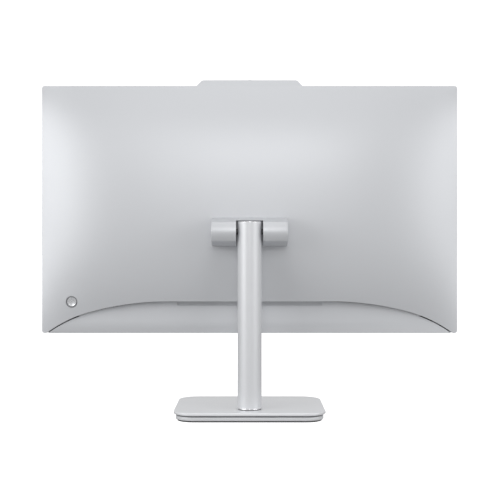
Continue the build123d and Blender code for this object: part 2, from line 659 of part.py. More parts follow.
with BuildPart() as audio_jack:
    with BuildSketch(level(PORT_MOUTH)):
        with Locations((AUDIO_X, BOARD_BACK + 0.05 + AUDIO_W / 2)):
            Rectangle(AUDIO_W, AUDIO_W)
            Circle(AUDIO_R, mode=Mode.SUBTRACT)
    extrude(amount=AUDIO_L)
audio_jack.part.label = "audio_jack"
export_step(audio_jack.part, "parts/audio_jack.step")

with BuildPart() as power_inlet:
    with BuildSketch(level(PORT_MOUTH)):
        with Locations((POWER_X, BOARD_BACK + 0.05 + POWER_D / 2)):
            Rectangle(POWER_W, POWER_D)
            Circle(POWER_R, mode=Mode.SUBTRACT)
    extrude(amount=POWER_L)
    with BuildSketch(level(PORT_MOUTH + POWER_L - 1.5)):
        with Locations((POWER_X, BOARD_BACK + 0.05 + POWER_D / 2)):
            Circle(POWER_R + 0.5)
    extrude(amount=1.5)
    with BuildSketch(level(PORT_MOUTH + 1.5)):
        with Locations((POWER_X, BOARD_BACK + 0.05 + POWER_D / 2)):
            Circle(0.5)
    extrude(amount=POWER_L - 2)
power_inlet.part.label = "power_inlet"
export_step(power_inlet.part, "parts/power_inlet.step")


# -------------------------------------------------------------------- speakers
def speaker_box(side):
    """Closed speaker chamber behind the ledge on one side."""
    slab(side * SPEAKER_X, SPEAKER_Z, SPEAKER_W, SPEAKER_H, SPEAKER_BACK, SPEAKER_D)
    with BuildSketch(wall(SPEAKER_BACK - SPEAKER_WALL)) as chamber:
        with Locations((side * SPEAKER_X, SPEAKER_Z)):
            Rectangle(SPEAKER_W - 2 * SPEAKER_WALL, SPEAKER_H - 2 * SPEAKER_WALL)
    extrude(chamber.sketch, amount=SPEAKER_D - 2 * SPEAKER_WALL, mode=Mode.SUBTRACT)
    with BuildSketch(level(SPEAKER_Z - SPEAKER_H / 2 - 0.5)) as outlet:
        with Locations((side * DRIVER_X, DRIVER_Y)):
            Rectangle(DRIVER_W + 0.4, DRIVER_D + 0.4)
    extrude(outlet.sketch, amount=4, mode=Mode.SUBTRACT)


with BuildPart() as speaker_boxes:
    for side in (-1, 1):
        speaker_box(side)
speaker_boxes.part.label = "speaker_boxes"
export_step(speaker_boxes.part, "parts/speaker_boxes.step")

with BuildPart() as speaker_drivers:
    with BuildSketch(level(SPEAKER_Z - SPEAKER_H / 2 + 0.2)):
        with Locations((-DRIVER_X, DRIVER_Y), (DRIVER_X, DRIVER_Y)):
            RectangleRounded(DRIVER_W, DRIVER_D, 2)
    extrude(amount=DRIVER_H)
speaker_drivers.part.label = "speaker_drivers"
export_step(speaker_drivers.part, "parts/speaker_drivers.step")


# ---------------------------------------------------------------- power button
with BuildPart() as power_button:
    with BuildSketch(wall(0)):
        with Locations((BUTTON_X, BUTTON_Z)):
            Circle(BUTTON_R)
    extrude(amount=-BUTTON_BACK)
    add(button_dome, mode=Mode.INTERSECT)
    face_y = power_button.part.bounding_box().max.Y - CAP_SINK
    with Locations((BUTTON_X, face_y - DISH_DEPTH + DISH_R, BUTTON_Z)):
        Sphere(DISH_R, mode=Mode.SUBTRACT)
    with BuildSketch(wall(BUTTON_BACK + 0.5)):
        with Locations((BUTTON_X, BUTTON_Z)):
            Circle(STEM_R)
    extrude(amount=BUTTON_BACK + 0.5 - STEM_END)
power_button.part.label = "power_button"
export_step(power_button.part, "parts/power_button.step")

with BuildPart() as button_sleeve:
    with BuildSketch(wall(0)):
        with Locations((BUTTON_X, BUTTON_Z)):
            Circle(WELL_R - 0.15)
            Circle(BUTTON_R + SEAM, mode=Mode.SUBTRACT)
    extrude(amount=-FLANGE_Y)
    add(sleeve_dome, mode=Mode.INTERSECT)
    with BuildSketch(wall(FLANGE_Y)):
        with Locations((BUTTON_X, BUTTON_Z)):
            Circle(FLANGE_R)
            Circle(BUTTON_R + SEAM, mode=Mode.SUBTRACT)
    extrude(amount=FLANGE_T)
button_sleeve.part.label = "button_sleeve"
export_step(button_sleeve.part, "parts/button_sleeve.step")

with BuildPart() as button_switch:
    slab(BUTTON_X, BUTTON_Z, 4 * TACT_W, 2.5 * TACT_W, TACT_FRONT, FLANGE_T)
    slab(BUTTON_X, BUTTON_Z, TACT_W, TACT_W, TACT_FRONT + TACT_T, TACT_T)
    with BuildSketch(wall(TACT_FRONT + TACT_T + 0.6)):
        with Locations((BUTTON_X, BUTTON_Z)):
            Circle(TACT_R)
    extrude(amount=0.8)
button_switch.part.label = "button_switch"
export_step(button_switch.part, "parts/button_switch.step")


# ---------------------------------------------------------------------- camera
LENS_Z = PANEL_TOP + LENS_LIFT
CREST_Z = PANEL_TOP + HUMP_H
MODULE_BACK = CAMERA_BACK - CAMERA_BOARD_T - 0.05

with BuildPart() as camera_board:
    slab(0, LENS_Z, 104, CAMERA_SIZE, CAMERA_BACK, CAMERA_BOARD_T)
camera_board.part.label = "camera_board"
export_step(camera_board.part, "parts/camera_board.step")

with BuildPart() as camera_module:
    slab(0, LENS_Z, CAMERA_SIZE + 1, CAMERA_SIZE, MODULE_BACK, MODULE_BACK - LENS_BACK)
    with BuildSketch(wall(LENS_BACK)):
        with Locations((0, LENS_Z)):
            Circle(LENS_R)
    extrude(amount=LENS_T)
camera_module.part.label = "camera_module"
export_step(camera_module.part, "parts/camera_module.step")

with BuildPart() as camera_sensors:
    for side in (-1, 1):
        slab(side * MICROPHONE_X, LENS_Z, 4, 4, MODULE_BACK, 2 * LENS_T)
        slab(side * LIGHT_SENSOR_X, LENS_Z, 4, 3, MODULE_BACK, LENS_T)
camera_sensors.part.label = "camera_sensors"
export_step(camera_sensors.part, "parts/camera_sensors.step")

with BuildPart() as shutter:
    slab(-8, LENS_Z, 7.2, CAMERA_SIZE, SHUTTER_BACK, SHUTTER_T)
    slab(-4, PANEL_TOP + 7.0, 10, 0.6, SHUTTER_BACK, SHUTTER_T)
    slab(0, CREST_Z - 1.2, SLIDER_W, 3.1, -32.7, 1.4)
    slab(0, CREST_Z + 0.475, SLIDER_W, 0.75, -32.2, 2.2)
shutter.part.label = "camera_shutter"
export_step(shutter.part, "parts/camera_shutter.step")


# ------------------------------------------------------------- cables and aerials
with BuildPart() as ribbon_cables:
    slab(-136, 162.5, 26, 27, -29.28, 0.2)
    slab(-136, 175.9, 26, 0.2, BOARD_FRONT - 0.05, 5.2)
    slab(62, 350, 6, 248, PLATE_BACK + 0.3, 0.25)
    slab(190, 180, 130, 5, PLATE_BACK + 0.3, 0.25)
ribbon_cables.part.label = "ribbon_cables"
export_step(ribbon_cables.part, "parts/ribbon_cables.step")

with BuildPart() as aerials:
    for side in (-1, 1):
        slab(side * 105, 464, 44, 8, PLATE_BACK + 0.6, 0.55)
    for start, x in ((-53, -95), (-50, 95)):
        with BuildLine(wall(PLATE_BACK + 1.25)) as lead:
            FilletPolyline((start, 236), (start, 300), (x, 300 + x / 10), (x, 459), radius=4)
        with BuildSketch(Plane(origin=lead.line @ 0, z_dir=lead.line % 0)):
            Circle(0.6)
        sweep(path=lead.line)
aerials.part.label = "aerials"
export_step(aerials.part, "parts/aerials.step")


# ------------------------------------------------------------------ tilt hinge
def bar_profile(inset):
    """Side view of the hinge bar: flared at the screen, rounded at the rear."""
    half, rear = BAR_HALF - inset, BAR_REAR_HALF - inset
    with BuildLine() as outline:
        Polyline((BAR_ROOT_Y, AXIS_Z), (BAR_ROOT_Y, AXIS_Z + half), (BAR_SHOULDER_Y, AXIS_Z + half))
        Line((BAR_SHOULDER_Y, AXIS_Z + half), (BAR_EDGE_Y - inset, AXIS_Z + rear))
        Line((BAR_ROOT_Y, AXIS_Z), (BAR_ROOT_Y, AXIS_Z - half))
        Line((BAR_ROOT_Y, AXIS_Z - half), (BAR_SHOULDER_Y, AXIS_Z - half))
        Line((BAR_SHOULDER_Y, AXIS_Z - half), (BAR_EDGE_Y - inset, AXIS_Z - rear))
        ThreePointArc(
            (BAR_EDGE_Y - inset, AXIS_Z + rear),
            (BAR_REAR_Y - inset, AXIS_Z),
            (BAR_EDGE_Y - inset, AXIS_Z - rear),
        )
    make_face(outline.line.edges())


def notch_outline(wall_t):
    """Room for the post, seen from the side, grown by wall_t at the front and top."""
    with Locations((POLE_Y - NOTCH_FRONT - wall_t, NOTCH_TOP + wall_t)):
        Rectangle(BAR_W, BAR_W, align=(Align.MIN, Align.MAX))


# Inner walls round the post, kept inside the bar's own shape
with BuildPart() as notch_walls:
    with BuildSketch(Plane.YZ.offset(-NOTCH_HALF - BAR_WALL)):
        notch_outline(BAR_WALL)
    extrude(amount=2 * (NOTCH_HALF + BAR_WALL))
    with BuildSketch(Plane.YZ.offset(-BAR_W / 2)):
        bar_profile(0.02)
    extrude(amount=BAR_W, mode=Mode.INTERSECT)

with BuildPart() as hinge_cover:
    with BuildSketch(Plane.YZ.offset(-BAR_W / 2)):
        bar_profile(0)
    extrude(amount=BAR_W)
    rims = hinge_cover.faces().filter_by(Axis.X).edges()
    fillet(rims.filter_by(lambda e: e.center().Y > BAR_ROOT_Y + 1), 1.4)
    with BuildSketch(Plane.YZ.offset(-BAR_W / 2 + BAR_WALL)):
        bar_profile(BAR_WALL)
    extrude(amount=BAR_W - 2 * BAR_WALL, mode=Mode.SUBTRACT)
    add(notch_walls.part)
    with BuildSketch(Plane.YZ.offset(-NOTCH_HALF)):
        notch_outline(0)
    extrude(amount=2 * NOTCH_HALF, mode=Mode.SUBTRACT)
    with BuildSketch(Plane.YZ.offset(-BAR_W / 2 + BAR_WALL)):
        with Locations((POLE_Y, AXIS_Z)):
            Circle(SHAFT_R + 1)
    extrude(amount=BAR_W - 2 * BAR_WALL, mode=Mode.SUBTRACT)
    add(bar_dome, mode=Mode.SUBTRACT)
hinge_cover.part.label = "hinge_cover"
export_step(hinge_cover.part, "parts/hinge_cover.step")


def hinge_arm(side):
    """Steel arm from the chassis plate to the shaft, with a bolted foot."""
    inner = ARM_X if side > 0 else -ARM_X - ARM_T
    with BuildSketch(Plane.YZ.offset(inner)) as blade:
        with Locations((POLE_Y, AXIS_Z)):
            Circle(ARM_HALF)
        with Locations((PLATE_BACK + 0.05, AXIS_Z)):
            Rectangle(POLE_Y - PLATE_BACK, 2 * ARM_HALF - 4, align=(Align.MIN, Align.CENTER))
        with Locations((POLE_Y, AXIS_Z)):
            Circle(SHAFT_R + RUN_GAP, mode=Mode.SUBTRACT)
    extrude(blade.sketch, amount=ARM_T)
    with BuildSketch(wall(PLATE_BACK + 0.05 + ARM_T)) as foot:
        with Locations((side * (ARM_X + 12), AXIS_Z)):
            Rectangle(24, 52)
            with GridLocations(12, 38, 1, 2):
                Circle(2.2, mode=Mode.SUBTRACT)
    extrude(foot.sketch, amount=ARM_T)


with BuildPart() as hinge_arms:
    for side in (-1, 1):
        hinge_arm(side)
hinge_arms.part.label = "hinge_arms"
export_step(hinge_arms.part, "parts/hinge_arms.step")

with BuildPart() as hinge_shaft:
    with BuildSketch(Plane.YZ.offset(-SHAFT_HALF)):
        with Locations((POLE_Y, AXIS_Z)):
            Circle(SHAFT_R)
    extrude(amount=2 * SHAFT_HALF)
hinge_shaft.part.label = "hinge_shaft"
export_step(hinge_shaft.part, "parts/hinge_shaft.step")

with BuildPart() as friction_washers:
    for side in (-1, 1):
        for i in range(4):
            start = ARM_X + ARM_T + 0.1 + i * (WASHER_T + 0.02)
            with BuildSketch(Plane.YZ.offset(side * (start + WASHER_T / 2) - WASHER_T / 2)):
                with Locations((POLE_Y, AXIS_Z)):
                    Circle(WASHER_R)
                    Circle(SHAFT_R + 0.02, mode=Mode.SUBTRACT)
            extrude(amount=WASHER_T)
friction_washers.part.label = "friction_washers"
export_step(friction_washers.part, "parts/friction_washers.step")

with BuildPart() as hinge_nuts:
    for side in (-1, 1):
        with BuildSketch(Plane.YZ.offset(side * 33.2 - 3)):
            with Locations((POLE_Y, AXIS_Z)):
                RegularPolygon(8, 6)
                Circle(SHAFT_R + 0.02, mode=Mode.SUBTRACT)
        extrude(amount=6)
hinge_nuts.part.label = "hinge_nuts"
export_step(hinge_nuts.part, "parts/hinge_nuts.step")


# ------------------------------------------------------------------------ post
def ring(z, height, outer, inner):
    """Upright ring or disc on the post's axis."""
    with BuildSketch(level(z)) as band:
        with Locations((0, POLE_Y)):
            Circle(outer)
            if inner > 0:
                Circle(inner, mode=Mode.SUBTRACT)
    extrude(band.sketch, amount=height)


with BuildPart() as pole_gasket:
    ring(BASE_TOP + 0.02, 0.9, POLE_R - 0.7, CORE_R + 4)
pole_gasket.part.label = "pole_gasket"
export_step(pole_gasket.part, "parts/pole_gasket.step")

with BuildPart() as pole_collar:
    ring(BASE_TOP + 0.95, 1.5, POLE_R + 0.35, CORE_R + 4)
    fillet(pole_collar.edges().group_by(Axis.Z)[-1].group_by(SortBy.RADIUS)[-1], 0.4)
pole_collar.part.label = "pole_collar"
export_step(pole_collar.part, "parts/pole_collar.step")

with BuildPart() as pole_tube:
    ring(BASE_TOP + 2.5, POLE_TOP - 1.2 - BASE_TOP - 2.5, POLE_R, POLE_R - POLE_WALL)
    with BuildSketch(Plane.YZ.offset(-POLE_R)):
        with Locations((POLE_Y, AXIS_Z)):
            Circle(SHAFT_R + 0.02)
    extrude(amount=2 * POLE_R, mode=Mode.SUBTRACT)
pole_tube.part.label = "pole_tube"
export_step(pole_tube.part, "parts/pole_tube.step")

with BuildPart() as pole_cap:
    ring(POLE_TOP - 1.18, 1.18, POLE_R, 0)
    chamfer(pole_cap.edges().group_by(Axis.Z)[-1], 0.8)
pole_cap.part.label = "pole_cap"
export_step(pole_cap.part, "parts/pole_cap.step")

with BuildPart() as pole_knuckle:
    ring(CORE_TOP + 0.05, POLE_TOP - 1.3 - CORE_TOP, POLE_R - POLE_WALL - 0.05, 0)
    with BuildSketch(Plane.YZ.offset(-POLE_R)):
        with Locations((POLE_Y, AXIS_Z)):
            Circle(SHAFT_R + 0.02)
    extrude(amount=2 * POLE_R, mode=Mode.SUBTRACT)
pole_knuckle.part.label = "pole_knuckle"
export_step(pole_knuckle.part, "parts/pole_knuckle.step")

with BuildPart() as pole_core:
    ring(BASE_TOP + 0.02, CORE_TOP - BASE_TOP - 0.02, CORE_R, 0)
    ring(BASE_TOP + 0.02, 6, CORE_R + 3.6, 0)
    ring(BASE_TOP - 1, 16, 4.1, 0)
    with BuildSketch(level(BASE_TOP - 1)):
        with Locations((0, POLE_Y)):
            Circle(4.1)
    extrude(amount=18, mode=Mode.SUBTRACT)
pole_core.part.label = "pole_core"
export_step(pole_core.part, "parts/pole_core.step")


# ------------------------------------------------------------------------ base
LOWER_TOP = BASE_TOP - TOP_T - GROOVE_T
with BuildPart() as base_top:
    with BuildSketch(level(BASE_TOP - TOP_T)):
        base_outline(0)
        with Locations((0, POLE_Y)):
            Circle(4.3, mode=Mode.SUBTRACT)
    extrude(amount=TOP_T)
    outer_rim = base_top.edges().group_by(Axis.Z)
    fillet([e for e in outer_rim[-1] if e.length > 30], 1.2)
base_top.part.label = "base_top"
export_step(base_top.part, "parts/base_top.step")

with BuildPart() as base_groove:
    with BuildSketch(level(LOWER_TOP + 0.02)):
        base_outline(GROOVE_INSET)
        with Locations((0, POLE_Y)):
            Circle(SCREW_HEAD_R + 2, mode=Mode.SUBTRACT)
    extrude(amount=GROOVE_T - 0.04)
base_groove.part.label = "base_groove"
export_step(base_groove.part, "parts/base_groove.step")

with BuildPart() as base_lower:
    with BuildSketch(level(LOWER_LOW)):
        base_outline(LOWER_INSET)
        with Locations((0, POLE_Y)):
            Circle(SCREW_HEAD_R + 2, mode=Mode.SUBTRACT)
    extrude(amount=LOWER_TOP - LOWER_LOW)
    low_rims = base_lower.edges().group_by(Axis.Z)
    fillet([e for e in low_rims[0] if e.center().Y < BASE_D and e.length > 30], 1.2)
base_lower.part.label = "base_lower"
export_step(base_lower.part, "parts/base_lower.step")

with BuildPart() as foot_pad:
    with BuildSketch(level(0)):
        base_outline(FOOT_INSET)
        RectangleRounded(
            BASE_W - 2 * (FOOT_INSET + FOOT_W),
            BASE_D - 2 * (FOOT_INSET + FOOT_W),
            BASE_R - FOOT_INSET - FOOT_W,
            mode=Mode.SUBTRACT,
        )
    extrude(amount=LOWER_LOW - 0.02)
foot_pad.part.label = "foot_pad"
export_step(foot_pad.part, "parts/foot_pad.step")

with BuildPart() as stand_screw:
    ring(LOWER_LOW + 0.6, SCREW_HEAD_H, SCREW_HEAD_R, 0)
    ring(LOWER_LOW + 0.6 + SCREW_HEAD_H, BASE_TOP + 12 - LOWER_LOW - SCREW_HEAD_H, 4.0, 0)
    with BuildSketch(level(LOWER_LOW + 0.6)):
        with Locations((0, POLE_Y)):
            Rectangle(24, 2)
            with PolarLocations(SCREW_HEAD_R, 24):
                Circle(0.9)
    extrude(amount=2, mode=Mode.SUBTRACT)
stand_screw.part.label = "stand_screw"
export_step(stand_screw.part, "parts/stand_screw.step")
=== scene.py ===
import json
import math

import bmesh
import bpy
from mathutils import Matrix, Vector


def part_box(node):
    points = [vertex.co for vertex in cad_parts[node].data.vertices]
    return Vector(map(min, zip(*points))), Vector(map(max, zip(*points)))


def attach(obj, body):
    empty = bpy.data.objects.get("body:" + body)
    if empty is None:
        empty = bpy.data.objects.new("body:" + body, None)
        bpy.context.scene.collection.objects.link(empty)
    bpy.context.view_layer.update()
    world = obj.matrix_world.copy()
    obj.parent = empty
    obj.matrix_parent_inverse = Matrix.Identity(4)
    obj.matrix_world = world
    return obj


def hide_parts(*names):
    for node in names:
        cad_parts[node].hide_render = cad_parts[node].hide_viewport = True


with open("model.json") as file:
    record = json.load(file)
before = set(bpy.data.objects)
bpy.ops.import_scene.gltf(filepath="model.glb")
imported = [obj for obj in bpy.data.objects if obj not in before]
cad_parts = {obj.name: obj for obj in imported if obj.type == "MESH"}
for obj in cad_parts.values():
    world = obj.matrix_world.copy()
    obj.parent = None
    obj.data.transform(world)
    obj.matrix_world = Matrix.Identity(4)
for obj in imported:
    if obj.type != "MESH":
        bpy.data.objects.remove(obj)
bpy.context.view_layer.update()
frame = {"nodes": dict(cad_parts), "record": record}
NODES = frame["nodes"]

# ---------------------------------------------------------------- dimensions
# Metres. Places come from the frame's boxes; these are the shapes' own radii and walls.
DOME_RISE = 0.033
CORNER = 0.004
HUMP_H, HUMP_LEAN = 0.009, 0.0032
HUMP_BASE, HUMP_CREST, HUMP_R = 0.0783, 0.0700, 0.0055
# Depth and inset of the rings round the hump's rear rim
HUMP_EDGE = ((0.0, 0.0007), (0.0002, 0.0003), (0.0007, 0.0))
SLIVER = 0.0001
ARCH_TOP, ARCH_FLAT = 0.1625, 0.120
ARCH_R1, ARCH_A1 = 0.424, math.radians(15.6)
ARCH_R2 = 0.208
SHELF_Y = -0.0292
RECESS_GAP = 0.0016
BAY_HALF, BAY_LOW, BAY_DEPTH = 0.107, 0.1555, 0.0028
SIDE_WALL, DOME_WALL, LEDGE_WALL = 0.0018, 0.0022, 0.0020
EDGE_R = 0.0005
WELL_R, WELL_DEPTH, WELL_BACK = 0.00875, 0.004, 0.020
WINDOW_HALF, WINDOW_RISE, WINDOW_FRONT, WINDOW_BACK = 0.026, 0.011, -0.020, 0.030
PORT_GAP, PORT_BELOW, PORT_ABOVE = 0.00035, 0.001, 0.003
LEDGE_VENTS, LEDGE_VENT_X, LEDGE_VENT_PITCH, LEDGE_VENT_Y = 10, 0.168, 0.007, -0.019
LEDGE_VENT_W, LEDGE_VENT_L, LEDGE_VENT_R = 0.003, 0.010, 0.0014
LEDGE_VENT_LOW, LEDGE_VENT_HIGH = 0.1400, 0.1685
TOP_VENTS, TOP_VENT_X, TOP_VENT_PITCH, TOP_VENT_Y = 13, 0.180, 0.012, -0.0283
TOP_VENT_W, TOP_VENT_L, TOP_VENT_R = 0.009, 0.0014, 0.0006
TOP_VENT_BELOW, TOP_VENT_ABOVE = 0.003, 0.002
POLE_Y, POLE_R, POLE_WALL = 0.0448, 0.0170, 0.0022
CAP_EDGE, RING_BORE, RING_EDGE = 0.0011, 0.0150, 0.0002
AXIS_Z, SHAFT_HOLE, SHAFT_BORE = 0.2635, 0.00402, 0.0050
BASE_R, SCREW_WELL_R, SCREW_WELL_H = 0.0295, 0.018, 0.012
BASE_LIP, BASE_EDGE, UNDER_EDGE, UNDER_LIP = 0.0003, 0.0016, 0.0014, 0.0004
CAP_FRONT = -0.020
LAMP_R, LAMP_DEPTH, LAMP_LIFT, LAMP_CROWN, LAMP_EDGE = 0.0006, 0.0008, 0.00002, 0.00012, 0.00025
PAST = 0.01  # how far a cut runs past what it cuts


# ------------------------------------------------------------------ materials
def material(name, color, rough, metal=0.0, grain=900.0, tint=0.02, vary=0.05, bump=0.02, coat=0.0, spec=0.5):
    """Painted, moulded or metal surface with a fine grain in colour, gloss and height and a slow drift."""
    m = bpy.data.materials.new(name)
    m.use_nodes = True
    nt = m.node_tree
    b = nt.nodes["Principled BSDF"]
    coords = nt.nodes.new("ShaderNodeTexCoord")
    fine = nt.nodes.new("ShaderNodeTexNoise")
    fine.inputs["Scale"].default_value = grain
    fine.inputs["Detail"].default_value = 3.0
    slow = nt.nodes.new("ShaderNodeTexNoise")
    slow.inputs["Scale"].default_value = 7.0
    slow.inputs["Detail"].default_value = 2.0
    for n in (fine, slow):
        nt.links.new(coords.outputs["Object"], n.inputs["Vector"])
    part = nt.nodes.new("ShaderNodeMath")
    part.operation = "MULTIPLY"
    part.inputs[1].default_value = 0.4
    nt.links.new(slow.outputs["Fac"], part.inputs[0])
    both = nt.nodes.new("ShaderNodeMath")
    both.operation = "MULTIPLY_ADD"
    both.inputs[1].default_value = 0.6
    nt.links.new(fine.outputs["Fac"], both.inputs[0])
    nt.links.new(part.outputs[0], both.inputs[2])
    ramp = nt.nodes.new("ShaderNodeMix")
    ramp.data_type = "RGBA"
    ramp.inputs["A"].default_value = (*[c * (1 - tint) for c in color], 1)
    ramp.inputs["B"].default_value = (*[min(1.0, c * (1 + tint)) for c in color], 1)
    nt.links.new(both.outputs[0], ramp.inputs["Factor"])
    nt.links.new(ramp.outputs["Result"], b.inputs["Base Color"])
    spread = nt.nodes.new("ShaderNodeMapRange")
    spread.inputs["From Min"].default_value = 0.3
    spread.inputs["From Max"].default_value = 0.7
    spread.inputs["To Min"].default_value = max(0.02, rough - vary)
    spread.inputs["To Max"].default_value = min(1.0, rough + vary)
    nt.links.new(both.outputs[0], spread.inputs["Value"])
    nt.links.new(spread.outputs["Result"], b.inputs["Roughness"])
    if bump > 0:
        height = nt.nodes.new("ShaderNodeBump")
        height.inputs["Strength"].default_value = bump
        height.inputs["Distance"].default_value = 0.0002
        nt.links.new(fine.outputs["Fac"], height.inputs["Height"])
        nt.links.new(height.outputs["Normal"], b.inputs["Normal"])
    b.inputs["Metallic"].default_value = metal
    b.inputs["Coat Weight"].default_value = coat
    b.inputs["Coat Roughness"].default_value = 0.25
    b.inputs["Specular IOR Level"].default_value = spec
    return m


SILVER = (0.62, 0.632, 0.655)
COVER = material("cover_paint", SILVER, 0.42, 0.35, bump=0.03)
RECESS = material("recess_paint", SILVER, 0.45, 0.30, bump=0.03)
BAR = material("hinge_paint", SILVER, 0.40, 0.35, bump=0.03)
# Painted light: the stand's plates are a lighter copy of the cover's silver, standing in for light from above
# on the base.
STAND_LIGHTENED_SILVER = material("stand_paint", (0.80, 0.81, 0.83), 0.36, 0.30, bump=0.02)
# The post has its own metal finish, painted lighter than the cover's silver; part of that lightness is
# painted light standing in for the frontal light on the post.
POLE = material("pole_metal_lightened", (0.72, 0.73, 0.75), 0.45, 0.35, bump=0.02)
BUTTON = material("button_paint", (0.70, 0.71, 0.73), 0.28, 0.5, bump=0.01)
LAMP = material("lamp_lens", (0.42, 0.43, 0.45), 0.3, bump=0.0)
SLEEVE = material("sleeve_plastic", (0.30, 0.305, 0.315), 0.5)
TRIM = material("bright_trim", (0.80, 0.80, 0.82), 0.22, 0.9, bump=0.0)
# Painted shade: the base's groove layer is dark grey so the gap between the plates reads as shade.
GROOVE_SHADE = material("groove_painted_shade", (0.22, 0.225, 0.235), 0.6)
DARK = material("dark_plastic", (0.035, 0.036, 0.04), 0.5)
RUBBER = material("rubber", (0.05, 0.05, 0.052), 0.8, grain=500.0)
SCREEN = material("screen_glass", (0.004, 0.004, 0.005), 0.06, coat=1.0, bump=0.0, vary=0.01)
CHIN = material("chin_paint", SILVER, 0.42, 0.35)
# Painted shade: the hinge shaft and arms are near-black steel so the shaft seen in the gaps beside the post
# reads as dark shade.
DARK_STEEL_SHADE = material("dark_steel_painted_shade", (0.05, 0.05, 0.053), 0.45, 0.8, grain=300.0)
STEEL = material("zinc_steel", (0.55, 0.56, 0.57), 0.35, 1.0, grain=300.0, tint=0.08)
ALLOY = material("bare_alloy", (0.72, 0.73, 0.74), 0.3, 1.0)
COPPER = material("copper", (0.75, 0.36, 0.22), 0.25, 1.0)
BOARD = material("solder_mask", (0.02, 0.16, 0.07), 0.35, grain=250.0, tint=0.2)
CHIP = material("epoxy", (0.03, 0.03, 0.033), 0.45)
SHELL = material("tinned_shell", (0.66, 0.66, 0.68), 0.25, 1.0)
FILM = material("flat_cable", (0.78, 0.76, 0.70), 0.5)
CLEAR = material("light_guide", (0.85, 0.88, 0.90), 0.2)

FINISH = {
    "window_glass": SCREEN, "panel_glass": SCREEN, "bright_trim": TRIM, "dark_plastic": DARK,
    "soft_rubber": RUBBER, "thin_steel": STEEL, "light_alloy": ALLOY, "copper": COPPER,
    "board_green": BOARD, "chip_black": CHIP, "shell_chrome": SHELL, "cable_film": FILM,
    "clear_sheet": CLEAR, "frame_plastic": DARK, "cover_plastic": COVER, "stand_paint": STAND_LIGHTENED_SILVER,
    "button_cap": COVER,
}
OWN_FINISH = {"lower_rear_cover": RECESS, "chin_panel": CHIN, "base_groove": GROOVE_SHADE, "pole_gasket": RUBBER,
              "button_sleeve": SLEEVE, "hinge_shaft": DARK_STEEL_SHADE, "hinge_arms": DARK_STEEL_SHADE, "base_lower": STAND_LIGHTENED_SILVER}
for row in frame["record"]["subparts"]:
    node = NODES[row["node"]]
    node.data.materials.clear()
    node.data.materials.append(OWN_FINISH.get(row["node"], FINISH[row["material_slot"]]))


# --------------------------------------------------------------- mesh helpers
def shade(me, angle):
    """Smooth shading, except across edges sharper than angle degrees."""
    for p in me.polygons:
        p.use_smooth = True
    me.set_sharp_from_angle(angle=math.radians(angle))


def finish_mesh(bm, name, mat, body, replaced=(), angle=30):
    """Turns bm into an object that rides on body."""
    bmesh.ops.recalc_face_normals(bm, faces=bm.faces)
    me = bpy.data.meshes.new(name)
    bm.to_mesh(me)
    bm.free()
    me.materials.append(mat)
    obj = bpy.data.objects.new(name, me)
    bpy.context.scene.collection.objects.link(obj)
    shade(me, angle)
    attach(obj, body)
    if replaced:
        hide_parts(*replaced)
    return obj


def skin(bm, loops, caps=True):
    """Joins equal closed loops of vertices into a tube, with end caps."""
    for low, high in zip(loops, loops[1:]):
        for i in range(len(low)):
            j = (i + 1) % len(low)
            bm.faces.new((low[i], low[j], high[j], high[i]))
    if caps:
        bm.faces.new(loops[0])
        bm.faces.new(list(reversed(loops[-1])))


def loft(bm, outline, rings, place):
    """Closed solid through (height, inset) rings of one outline, put in space by place(a, b, height)."""
    skin(bm, [[bm.verts.new(place(a, b, height)) for a, b in outline(inset)] for height, inset in rings])
    return bm


def rounded(w, h, r, cx=0.0, cy=0.0, steps=16):
    """Outline function of a rounded rectangle, w by h with corner radius r, that takes an inset."""
    def outline(inset):
        rr = max(r - inset, 0.0002)
        points = []
        for k, (sx, sy) in enumerate(((1, 1), (-1, 1), (-1, -1), (1, -1))):
            ox, oy = cx + sx * (w / 2 - inset - rr), cy + sy * (h / 2 - inset - rr)
            for i in range(steps + 1):
                a = math.radians(90 * k + 90 * i / steps)
                points.append((ox + rr * math.cos(a), oy + rr * math.sin(a)))
        return points
    return outline


def edge_rings(low, high, low_r, high_r, steps=5):
    """Ring heights and insets of a slab whose lower and upper rims are rounded by low_r and high_r."""
    turn = [math.radians(90 * i / steps) for i in range(steps + 1)]
    under = [(low + low_r * (1 - math.sin(t)), low_r * (1 - math.cos(t))) for t in reversed(turn)]
    over = [(high - high_r * (1 - math.sin(t)), high_r * (1 - math.cos(t))) for t in turn]
    return (under if low_r else [(low, 0.0)]) + (over if high_r else [(high, 0.0)])


def turned(bm, profile, place, steps=128):
    """Body of revolution of a closed chain of (radius, height), put in space by place(a, b, height)."""
    loops = []
    for i in range(steps):
        a = math.tau * i / steps
        loops.append([bm.verts.new(place(r * math.cos(a), r * math.sin(a), h)) for r, h in profile])
    for here, there in zip(loops, loops[1:] + loops[:1]):
        for i in range(len(profile)):
            j = (i + 1) % len(profile)
            bm.faces.new((here[i], here[j], there[j], there[i]))
    return bm


def disc_outline(r, cx=0.0, cy=0.0, steps=96):
    """Outline function of a circle that takes an inset."""
    def outline(inset):
        rr = r - inset
        turn = [math.tau * i / steps for i in range(steps)]
        return [(cx + rr * math.cos(t), cy + rr * math.sin(t)) for t in turn]
    return outline


def block(bm, low, high):
    """Box between two corners."""
    made = bmesh.ops.create_cube(bm, size=1.0)["verts"]
    for v in made:
        v.co = Vector([(low[k] + high[k]) / 2 + v.co[k] * (high[k] - low[k]) for k in range(3)])


def flat(a, b, h):
    return (a, b, h)


def upright(a, b, h):
    return (a, h, b)


def sideways(a, b, h):
    return (h, a, b)


